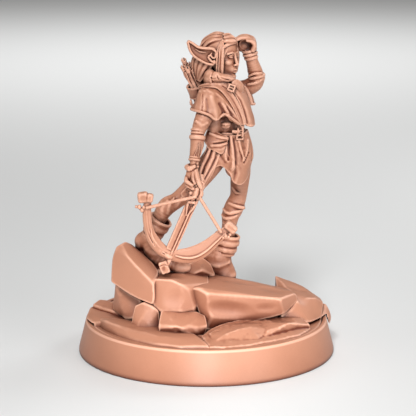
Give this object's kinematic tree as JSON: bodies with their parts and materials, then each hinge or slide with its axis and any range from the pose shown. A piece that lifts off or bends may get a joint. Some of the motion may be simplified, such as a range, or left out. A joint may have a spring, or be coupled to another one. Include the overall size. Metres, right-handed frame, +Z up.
{
  "type": "wargaming miniature",
  "caption": "Unpainted resin miniature of a cloaked elf archer with a lowered crossbow, shading the brow with one hand, on a pile of rocks that lifts out of a lipped round plinth.",
  "frame": {"origin": "centre of the plinth's underside, on the table", "axes": "+Z up; +X to the right as seen from the picture's camera; +Y away from that camera"},
  "size_m": [0.04, 0.04, 0.0495],
  "materials": {
    "resin": "matte cast resin, unpainted",
    "pin": "drawn wire"
  },
  "bodies": {
    "plinth": {"plinth": "resin"},
    "figure": {"scenic_insert": "resin", "boulder_left": "resin", "boulder_middle": "resin", "slab_long": "resin", "fin_rock": "resin", "rim_rock": "resin", "ground_slab_front_left": "resin", "ground_slab_front_right": "resin", "ground_slab_back_left": "resin", "small_block": "resin", "front_block": "resin", "pillar_rock": "resin", "boulder_back_left": "resin", "boulder_back_right": "resin", "foot_pins": "pin", "right_leg": "resin", "right_boot": "resin", "right_boot_cuff": "resin", "left_leg": "resin", "left_boot": "resin", "left_boot_cuff": "resin", "torso": "resin", "tunic_skirt": "resin", "coat_tail": "resin", "hip_flap": "resin", "belt": "resin", "belt_buckle": "resin", "belt_pouches": "resin", "mantle": "resin", "mantle_front_flap": "resin", "chest_strap": "resin", "strap_buckle": "resin", "collar": "resin", "neck": "resin", "head": "resin", "hair_cap": "resin", "hair_back": "resin", "hair_side_locks": "resin", "right_ear": "resin", "left_ear": "resin", "quiver": "resin", "quiver_rim": "resin", "quiver_bolts": "resin", "right_upper_arm": "resin", "right_bracer": "resin", "right_hand": "resin", "left_upper_arm": "resin", "left_forearm": "resin", "left_wrist_wrap": "resin", "left_hand": "resin", "crossbow_stock": "resin", "crossbow_lock": "resin", "bow_limb_left": "resin", "bow_limb_right": "resin", "limb_tip_caps": "resin", "bowstring": "resin", "string_knots": "resin", "stirrup": "resin"}
  },
  "joints": [
    {"name": "insert_lift", "type": "slide", "parent": "plinth", "child": "figure", "axis": [0, 0, 1], "range_m": [0, 0.012]}
  ]
}
